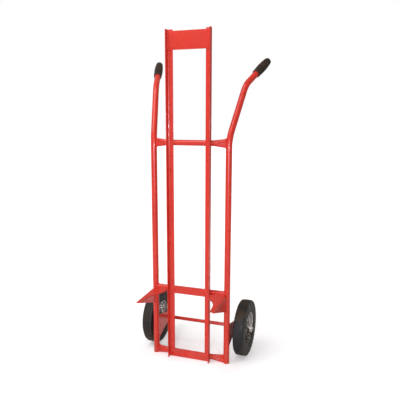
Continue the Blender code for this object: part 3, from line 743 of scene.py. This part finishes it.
def make_plate(name):
    """A flat bar with rolled, rounded long edges, welded between the angles."""
    low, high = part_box(name)
    label = name.split("_")[0]
    edge = PLATE_THICKNESS * 0.3
    outline = rounded_outline([(low.y, low.z, edge), (high.y, low.z, edge),
                               (high.y, high.z, edge), (low.y, high.z, edge)], 4)
    stations = [mix(low.x, high.x, step / 12.0) for step in range(13)]
    mesh = mesh_from(lambda work: prism(work, outline, stations, lambda y, z, x: Vector((x, y, z))))
    round_edges(add_piece(f"{label}_flat_bar", mesh, RED, "frame", name), 0.0003, 2, 60.0)

    def build(work):
        front = low.y - 0.0002
        back = high.y - 0.0006
        for _, side in SIDES:
            x = side * (ANGLE_HALF_WIDTH - ANGLE_THICKNESS - 0.0004)
            weld(work, [Vector((x, front, low.z + 0.001)), Vector((x, front, high.z - 0.001))], BAR_BEAD)
            inner = side * (ANGLE_HALF_WIDTH - ANGLE_LEG)
            for z in (low.z, high.z):
                weld(work, [Vector((x, back, z)), Vector((inner, back, z))], BAR_BACK_BEAD)
    add_welds(f"{label}_bar_welds", build)


def make_angle_welds():
    """Short beads above and below each cross tube where the angles' backs rest on it."""
    depth = ANGLE_BACK + 0.0008

    def build(work):
        for z in CROSS_HEIGHTS.values():
            for _, side in SIDES:
                for height in (z - 0.0045, z + 0.0045):
                    outer = side * (ANGLE_HALF_WIDTH - 0.001)
                    inner = side * (ANGLE_HALF_WIDTH - ANGLE_LEG + 0.001)
                    weld(work, [place(outer, depth, height), place(inner, depth, height)], ANGLE_BEAD)
    add_welds("angle_welds", build)


# ---- arms ----
def arm_edge(depth):
    """How far the flange's free edge is from the middle at this depth, on a smooth curve."""
    points = ARM_FLANGE_EDGE
    last = len(points) - 1
    index = next((i for i in range(last) if depth >= points[i + 1][1]), last - 1)
    (x0, y0), (x3, y3) = points[max(0, index - 1)], points[min(last, index + 2)]
    (x1, y1), (x2, y2) = points[index], points[index + 1]
    share = clamp((depth - y1) / (y2 - y1))
    slope1 = (x2 - x0) / (y2 - y0) * (y2 - y1)
    slope2 = (x3 - x1) / (y3 - y1) * (y2 - y1)
    square, cube = share * share, share ** 3
    return ((2 * cube - 3 * square + 1) * x1 + (cube - 2 * square + share) * slope1
            + (3 * square - 2 * cube) * x2 + (cube - square) * slope2)


def arm_line(side, share):
    """The middle of the arm's sheet at one depth: along the flange, round the fold and down the web."""
    depth = mix(ARM_ROOT_Y, ARM_TIP_Y, share)
    top = mix(ARM_ROOT_TOP_Z, ARM_TIP_TOP_Z, share)
    bottom = mix(ARM_ROOT_BOTTOM_Z, ARM_TIP_BOTTOM_Z, share)
    fold = min(ARM_FOLD_RADIUS, (top - bottom) * 0.8)
    centre = (TUBE_HALF_SPACING - fold, top - fold)
    points = [(mix(arm_edge(depth), centre[0], i / 10.0), top) for i in range(11)]
    for step in range(1, 9):
        angle = math.radians(90.0 * step / 8.0)
        points.append((centre[0] + fold * math.sin(angle), centre[1] + fold * math.cos(angle)))
    points += [(TUBE_HALF_SPACING, mix(centre[1], bottom, i / 8.0)) for i in range(1, 9)]
    return [place(side * x, depth, z) for x, z in points]


def make_arm(label, side):
    """A folded sheet: a tapering top flange, a rounded fold, and a web that runs out at the tip."""
    def build(work):
        rows = [[work.verts.new(point) for point in arm_line(side, step / ARM_STATIONS)]
                for step in range(ARM_STATIONS + 1)]
        for near, far in zip(rows, rows[1:]):
            for i in range(len(near) - 1):
                work.faces.new((near[i], near[i + 1], far[i + 1], far[i]))
    piece = add_piece(f"{label}_load_arm", mesh_from(build), RED, "frame", f"{label}_arm")
    sheet = piece.modifiers.new("sheet", "SOLIDIFY")
    sheet.thickness = ARM_SHEET
    sheet.offset = 0.0
    sheet.use_even_offset = True
    round_edges(piece, 0.0008, 3, 60.0)

    def build_welds(work):
        root = -TUBE_RADIUS - 0.0008
        for offset in (-1.0, 1.0):
            x = side * TUBE_HALF_SPACING + offset * (ARM_SHEET / 2.0 + BEAD_LIFT)
            seam = [place(x, root, ARM_ROOT_BOTTOM_Z + 0.003), place(x, root, ARM_ROOT_TOP_Z - 0.006)]
            weld(work, seam, ARM_BEAD)
        flange = ARM_ROOT_TOP_Z + ARM_SHEET / 2.0
        weld(work, [place(side * x, root + 0.0012, flange) for x in (0.104, 0.158)], ANGLE_BEAD)
    add_welds(f"{label}_arm_welds", build_welds)


# ---- axle gussets and axle ----
def gusset_outline():
    """Outline in depth and height: an edge on the tube, and a round nose about the axle."""
    edge = TUBE_RADIUS + 0.0003
    centre = Vector((WHEEL_Y, WHEEL_RADIUS))
    arcs = []
    for start_z, turn in ((GUSSET_TUBE_LOW_Z, -1.0), (GUSSET_TUBE_HIGH_Z, 1.0)):
        away = Vector((edge, start_z)) - centre
        spread = math.acos(GUSSET_NOSE_RADIUS / away.length)
        arcs.append(math.atan2(away.y, away.x) - turn * spread)
    low = arcs[0] - 2.0 * math.pi if arcs[0] > 0.0 else arcs[0]
    high = arcs[1] + 2.0 * math.pi if arcs[1] < 0.0 else arcs[1]
    nose = []
    for step in range(41):
        angle = mix(low, high, step / 40.0)
        nose.append(centre + Vector((math.cos(angle), math.sin(angle))) * GUSSET_NOSE_RADIUS)
    return [Vector((edge, GUSSET_TUBE_LOW_Z))] + nose + [Vector((edge, GUSSET_TUBE_HIGH_Z))]


def make_gusset(label, side):
    """A plate from the side tube back to the axle, with its edges dressed and beads along the tube."""
    face = side * TUBE_HALF_SPACING
    half = GUSSET_THICKNESS / 2.0
    outline = gusset_outline()

    def build_plate(work):
        prism(work, outline, (-half, half), lambda y, z, x: place(face + x, y, z))
    mesh = mesh_from(build_plate)
    round_edges(add_piece(f"{label}_gusset_plate", mesh, RED, "frame", f"{label}_axle_gusset"), 0.0009)

    def build(work):
        seam = TUBE_RADIUS + BEAD_LIFT
        ends = (GUSSET_TUBE_LOW_Z + 0.004, GUSSET_TUBE_HIGH_Z - 0.004)
        for offset in (-1.0, 1.0):
            x = face + offset * (half + BEAD_LIFT)
            weld(work, [place(x, seam, z) for z in ends], GUSSET_BEAD)
        x = face - side * (half + BEAD_LIFT)
        reach = AXLE_RADIUS + 0.0008
        ring = [place(x, WHEEL_Y + reach * math.cos(angle), WHEEL_RADIUS + reach * math.sin(angle))
                for angle in angles_round(48)]
        weld(work, ring, TUBE_BEAD, closed=True)
    add_welds(f"{label}_gusset_welds", build)


def make_axle():
    """The bar, chamfered at each end, and the paint on it between the gussets."""
    along = frame_along((1.0, 0.0, 0.0), place(0.0, WHEEL_Y, WHEEL_RADIUS))
    radius = AXLE_RADIUS - PAINT_LIFT
    half = [(radius, AXLE_HALF_LENGTH - AXLE_CHAMFER), (radius - AXLE_CHAMFER, AXLE_HALF_LENGTH),
            (AXLE_CORE, AXLE_HALF_LENGTH)]
    profile = [(r, -h) for r, h in half[::-1]] + half
    mesh = mesh_from(lambda work: solid(work, [turned_ring(work, r, h) for r, h in profile]), along)
    add_piece("axle_bar", mesh, BARE, "frame", "axle")
    end = TUBE_HALF_SPACING + GUSSET_THICKNESS
    skin = [(AXLE_RADIUS + PAINT_LIFT, end - 0.0004), (AXLE_RADIUS - 0.0002, end),
            (AXLE_RADIUS - 0.0004, end)]
    mesh = turned_mesh([(r, -h) for r, h in skin[::-1]] + skin, along)
    add_piece("axle_paint", mesh, RED, "frame")


# ---- wheels ----
def axle_frame(side):
    """A frame whose +Z runs outwards along the axle from the wheel's middle."""
    return frame_along((side, 0.0, 0.0), place(side * WHEEL_HALF_TRACK, WHEEL_Y, WHEEL_RADIUS))


def tyre_profile():
    """Half of the tyre's section, from the middle of its tread to its bead."""
    half = TYRE_HALF_WIDTH
    crown = WHEEL_RADIUS
    rim = RIM_RADIUS
    tread = [(crown, 0.0), (crown - 0.0001, 0.0060), (crown - 0.0003, 0.0096)]
    groove = [(crown - 0.0010, 0.0099), (crown - 0.0010, 0.0107), (crown - 0.0005, 0.0111)]
    shoulder = []
    for step in range(11):
        angle = math.radians(mix(8.0, 86.0, step / 10.0))
        shoulder.append((crown - 0.0072 + 0.0068 * math.cos(angle),
                         half - 0.0076 + 0.0068 * math.sin(angle)))
    wall = [(crown - 0.0115, half - 0.0004), (crown - 0.0130, half - 0.0010),
            (crown - 0.0145, half - 0.0006), (mix(crown, rim, 0.55), half - 0.0004),
            (rim + 0.0120, half - 0.0006), (rim + 0.0105, half - 0.0014),
            (rim + 0.0090, half - 0.0006), (rim + 0.0050, half - 0.0002)]
    bead = [(rim + 0.0022, half - 0.0006), (rim + 0.0006, half - 0.0020), (rim + 0.0003, half - 0.0042)]
    return tread + groove + shoulder + wall + bead


def make_tyre(label, side):
    outside = tyre_profile()
    inside = [(r, -h) for r, h in reversed(outside[1:])]
    mesh = turned_mesh(inside + outside, axle_frame(side), WHEEL_ROUND)
    add_piece(f"{label}_solid_tyre", mesh, TYRE, f"{label}_wheel", f"{label}_tyre")


def smooth_profile(points, rounds=2):
    """Cuts the corners of an open profile, keeping its two ends."""
    for _ in range(rounds):
        cut = [points[0]]
        for (r1, h1), (r2, h2) in zip(points, points[1:]):
            cut += [(mix(r1, r2, share), mix(h1, h2, share)) for share in (0.25, 0.75)]
        points = cut + [points[-1]]
    return points


def make_rim_half(label, side, word, outward):
    """A pressed disc: a hub collar, a flat for the bolts, a swage, and a deep wall with a curled lip."""
    dish = RIM_RADIUS - HUB_RADIUS
    pressing = [(0.03, RIM_COLLAR_RISE + RIM_SHEET), (0.10, RIM_COLLAR_RISE), (0.16, RIM_SHEET + 0.001),
                (0.24, RIM_SHEET), (0.56, RIM_SHEET), (0.64, RIM_SHEET + RIM_SWAGE_RISE), (0.72, RIM_SHEET)]
    line = [(HUB_RADIUS + 0.0002, RIM_COLLAR_RISE + RIM_SHEET)]
    line += [(HUB_RADIUS + share * dish, height) for share, height in pressing]
    line += [(RIM_RADIUS - 0.0090, RIM_SHEET), (RIM_RADIUS - 0.0035, RIM_SHEET + 0.002),
             (RIM_RADIUS - 0.0026, 0.0090), (RIM_RADIUS - 0.0022, RIM_LIP - 0.0040),
             (RIM_RADIUS - 0.0012, RIM_LIP - 0.0010), (RIM_RADIUS + 0.0010, RIM_LIP)]
    face = smooth_profile(line)
    back = [(r + (0.0014 if h > 0.006 and r > RIM_RADIUS - 0.006 else 0.0), max(0.0002, h - RIM_SHEET))
            for r, h in face]
    mesh = turned_mesh([(r, outward * h) for r, h in face + back[::-1]], axle_frame(side), WHEEL_ROUND)
    add_piece(f"{label}_{word}_rim_disc", mesh, RIM, f"{label}_wheel", f"{label}_{word}_rim_half")


def chamfered_ring(inner, outer, low, high, edge):
    """The section of a ring with small chamfers on all four corners."""
    return [(inner + edge, low), (outer - edge, low), (outer, low + edge), (outer, high - edge),
            (outer - edge, high), (inner + edge, high), (inner, high - edge), (inner, low + edge)]


def make_hub(label, side):
    """The hub sleeve with its two flanged bushes."""
    wheel = f"{label}_wheel"
    sleeve = chamfered_ring(HUB_RADIUS - HUB_WALL, HUB_RADIUS, -HUB_HALF_LENGTH, HUB_HALF_LENGTH, 0.0007)
    add_piece(f"{label}_hub_tube", turned_mesh(sleeve, axle_frame(side)), RIM, wheel, f"{label}_hub_sleeve")
    bore = AXLE_RADIUS + 0.0004
    body = HUB_RADIUS - HUB_WALL - 0.0003
    flange = HUB_HALF_LENGTH + 0.0003
    outer = BUSH_RADIUS
    profile = [(bore + 0.0006, BUSH_FACE), (bore, BUSH_FACE - 0.0006), (bore, flange - BUSH_DEPTH),
               (body, flange - BUSH_DEPTH), (body, flange), (outer - 0.0003, flange),
               (outer, flange + 0.0004), (outer, BUSH_FACE - 0.0007), (outer - 0.0007, BUSH_FACE)]
    for word, outward in (("inner", -1.0), ("outer", 1.0)):
        mesh = turned_mesh([(r, outward * h) for r, h in profile], axle_frame(side))
        add_piece(f"{label}_{word}_flanged_bush", mesh, NYLON, wheel, f"{label}_{word}_bush")


def make_rim_fixings(label, number):
    """One hexagon bolt through the rim, with its nut."""
    low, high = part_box(f"{label}_rim_bolt_{number}")
    node = (low + high) / 2.0
    side = math.copysign(1.0, node.x)
    matrix = frame_along((side, 0.0, 0.0), Vector((side * WHEEL_HALF_TRACK, node.y, node.z)))
    tip, top = sorted(side * x - WHEEL_HALF_TRACK for x in (low.x, high.x))
    corner = (high.y - low.y) / 2.0
    shank = corner * 0.52
    flat = corner * math.cos(math.pi / 6.0)
    seat = top - BOLT_HEAD

    def circles(work, sizes):
        return [turned_ring(work, radius, height, BOLT_ROUND) for radius, height in sizes]

    def hexagons(work, sizes):
        """Rings round the hexagon, whose corners are turned off at each size's radius."""
        def reach(angle):
            return flat / math.cos(angle % (math.pi / 3.0) - math.pi / 6.0)
        return [turned_ring(work, lambda angle: min(reach(angle), limit), height, BOLT_ROUND)
                for limit, height in sizes]

    def build_bolt(work):
        count = THREAD_TURNS * 2
        thread = [(shank * (0.90 if i % 2 else 1.0), mix(tip + 0.0010, -0.0030, i / (count - 1.0)))
                  for i in range(count)]
        rings = circles(work, [(shank * 0.72, tip), (shank, tip + 0.0008)] + thread)
        rings += circles(work, [(shank, seat), (flat * 0.96, seat), (flat * 0.96, seat + 0.0003)])
        rings += hexagons(work, [(flat * 1.02, seat + 0.0003), (corner, seat + 0.0007),
                                 (corner, top - 0.0009), (flat * 1.02, top - 0.0003), (flat * 0.92, top)])
        solid(work, rings)

    def build_nut(work):
        face_low = -seat - NUT_HEIGHT
        face_high = -seat
        rings = circles(work, [(shank + 0.0001, face_high), (shank + 0.0001, face_low + 0.0006),
                               (shank + 0.0008, face_low)])
        rings += hexagons(work, [(flat * 0.95, face_low), (corner, face_low + 0.0007),
                                 (corner, face_high - 0.0007), (flat * 0.95, face_high)])
        bridge(work, rings + rings[:1])
    for word, build, piece_word in (("bolt", build_bolt, "screw"), ("nut", build_nut, "hexnut")):
        add_piece(f"{label}_rim_{piece_word}_{number}", mesh_from(build, matrix), ZINC, f"{label}_wheel",
                  f"{label}_rim_{word}_{number}")


def make_axle_fittings(label, side):
    """The spacer inside the wheel, and the washer outside it."""
    fittings = (("outer_washer", "plain_washer", 0.0003), ("axle_spacer", "spacer_tube", 0.0006))
    for node, word, edge in fittings:
        low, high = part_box(f"{label}_{node}")
        start, end = sorted(side * x - WHEEL_HALF_TRACK for x in (low.x, high.x))
        ring = chamfered_ring(AXLE_RADIUS + 0.0003, (high.z - low.z) / 2.0, start, end, edge)
        mesh = turned_mesh(ring, axle_frame(side))
        add_piece(f"{label}_{word}", mesh, ZINC, "frame", f"{label}_{node}")


def make_split_pin(label):
    """A split pin: one wire bent into an eye above the axle, with its legs opened below."""
    node = f"{label}_split_pin"
    x = middle(node).x
    tip_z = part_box(node)[0].z
    gap = PIN_WIRE_RADIUS * PIN_LEG_GAP
    eye_z = WHEEL_RADIUS + AXLE_RADIUS + 0.0018 + PIN_EYE_RADIUS
    neck_z = eye_z - PIN_EYE_RADIUS - 0.0008
    spread_z = WHEEL_RADIUS - AXLE_RADIUS - 0.0030
    path = [(0.0060, tip_z + 0.0010), (gap, spread_z), (gap, neck_z)]
    for step in range(15):
        angle = math.radians(mix(-60.0, 240.0, step / 14.0))
        path.append((PIN_EYE_RADIUS * math.cos(angle), eye_z + PIN_EYE_RADIUS * math.sin(angle)))
    path += [(-gap, neck_z), (-gap, spread_z), (-0.0048, tip_z + 0.0022)]

    def build(work):
        wire = resample([place(x, WHEEL_Y + y, z) for y, z in path], 0.0004, False)
        for _ in range(3):
            wire = wire[:1] + [(a + b + c) / 3.0 for a, b, c in zip(wire, wire[1:], wire[2:])] + wire[-1:]
        sweep(work, wire, [PIN_WIRE_RADIUS] * len(wire), WIRE_ROUND)
    add_piece(f"{label}_cotter", mesh_from(build), ZINC, "frame", node)


# ---- floor, light and camera ----
def make_floor():
    """A large pale sheet with a faint, even grain, which the camera sees lifted to white."""
    finish = Finish("studio_floor", 0.75)
    grain = finish.band(finish.noise(30.0, 4.0), 0.3, 0.7)
    distance = finish.add("VectorMath", {0: finish.place}, operation="LENGTH")["Value"]
    glow = finish.band(distance, GLOW_START, GLOW_REACH, NEAR_GLOW, FAR_GLOW)
    seen = finish.add("LightPath", {})["Is Camera Ray"]
    pale = finish.blend(grain, (0.86, 0.86, 0.86), (0.89, 0.89, 0.89))
    finish.wire(colour=pale, emission=finish.times(glow, seen))
    finish.shader.inputs["Emission Color"].default_value = WHITE

    def build(work):
        bmesh.ops.create_grid(work, x_segments=4, y_segments=4, size=FLOOR_HALF_SIZE)
    mesh = mesh_from(build)
    mesh.materials.append(finish.material)
    floor = bpy.data.objects.new("studio_floor", mesh)
    bpy.context.scene.collection.objects.link(floor)


def make_world():
    """A white backdrop, whose light is stronger and cooler from the front left than from behind."""
    world = bpy.data.worlds.new("studio")
    world.use_nodes = True
    tree = world.node_tree
    direction = add_node(tree, "TexCoord", {})["Generated"]
    sides = {0: direction, 1: LIGHT_SIDE.normalized()}
    facing = add_node(tree, "VectorMath", sides, operation="DOT_PRODUCT")["Value"]
    fade = {"Value": facing, "From Min": -LIGHT_FADE, "From Max": LIGHT_FADE}
    level = add_node(tree, "MapRange", {**fade, "To Min": BACK_LIGHT, "To Max": FRONT_LIGHT})["Result"]
    share = add_node(tree, "MapRange", fade)["Result"]
    seen = add_node(tree, "LightPath", {})["Is Camera Ray"]
    strength = add_node(tree, "Mix", {0: seen, 2: level, 3: 1.0})[0]
    tint = add_node(tree, "Mix", {0: share, 6: BACK_TINT, 7: FRONT_TINT}, data_type="RGBA")[2]
    shown = add_node(tree, "Mix", {0: seen, 6: tint, 7: WHITE}, data_type="RGBA")[2]
    tree.links.new(strength, tree.nodes["Background"].inputs["Strength"])
    tree.links.new(shown, tree.nodes["Background"].inputs["Color"])
    bpy.context.scene.world = world


def area_light(name, location, target, size, power, colour=WHITE[:3]):
    light = bpy.data.lights.new(name, "AREA")
    light.shape = "RECTANGLE"
    light.size, light.size_y = size
    light.energy = power
    light.color = colour
    lamp = bpy.data.objects.new(name, light)
    lamp.location = location
    lamp.visible_camera = False
    lamp.rotation_euler = (Vector(target) - Vector(location)).to_track_quat("-Z", "Y").to_euler()
    bpy.context.scene.collection.objects.link(lamp)
    return lamp


def make_lights():
    """A large soft box high on the left, a bluish flash by the camera with its glint, and a fill behind."""
    target = (0.0, 0.0, 0.75)
    area_light("key_softbox", (-1.0, -1.7, 3.9), target, (2.4, 2.4), KEY_POWER)
    area_light("flash_softbox", (0.62, -2.45, 1.12), (0.0, 0.0, 0.85), (0.22, 0.36),
               FLASH_POWER, FLASH_COLOUR)
    fill = area_light("rear_softbox", (0.5, 3.0, 2.2), target, (2.0, 2.0), REAR_POWER)
    fill.visible_glossy = False
    glint = area_light("flash_glint", (0.72, -2.14, 1.06), (0.0, 0.0, 0.9), (0.12, 0.16),
                       GLINT_POWER, GLINT_COLOUR)
    glint.visible_diffuse = False


def make_camera():
    """A camera in front and to the right, at three quarters of the truck's height, looking a little down."""
    yaw_cos, yaw_sin = math.cos(CAMERA_YAW), math.sin(CAMERA_YAW)
    roll_cos, roll_sin = math.cos(CAMERA_ROLL), math.sin(CAMERA_ROLL)
    level = math.cos(CAMERA_PITCH)
    ahead = Vector((yaw_sin * level, yaw_cos * level, math.sin(CAMERA_PITCH)))
    right = Vector((yaw_cos, -yaw_sin, 0.0))
    up = right.cross(ahead)
    axes = (right * roll_cos + up * roll_sin, up * roll_cos - right * roll_sin, -ahead)
    data = bpy.data.cameras.new("camera")
    data.sensor_width = CAMERA_SENSOR
    data.lens = CAMERA_LENS
    data.shift_x, data.shift_y = CAMERA_SHIFT
    camera = bpy.data.objects.new("camera", data)
    matrix = Matrix(axes).transposed().to_4x4()
    matrix.translation = place(*CAMERA_POINT)
    camera.matrix_world = matrix
    bpy.context.scene.collection.objects.link(camera)
    bpy.context.scene.camera = camera


# ---- build ----
make_camera()
make_world()
make_lights()
make_floor()
bpy.context.scene.view_settings.view_transform = "Standard"

for tube_name, tube_z in CROSS_HEIGHTS.items():
    is_flattened = tube_name != "middle_cross_tube"
    make_cross_tube(tube_name, tube_z, is_flattened)
    make_cross_tube_welds(tube_name, tube_z, is_flattened)
for plate_name in ("top_plate", "middle_plate", "bottom_plate"):
    make_plate(plate_name)
make_angle_welds()
make_axle()
for side_label, side_sign in SIDES:
    make_side_tube(side_label, side_sign)
    make_grip(side_label, side_sign)
    make_angle(side_label, side_sign)
    make_arm(side_label, side_sign)
    make_gusset(side_label, side_sign)
    make_tyre(side_label, side_sign)
    for half_word, half_sign in (("inner", -1.0), ("outer", 1.0)):
        make_rim_half(side_label, side_sign, half_word, half_sign)
    make_hub(side_label, side_sign)
    for bolt_number in range(1, 5):
        make_rim_fixings(side_label, bolt_number)
    make_axle_fittings(side_label, side_sign)
    make_split_pin(side_label)
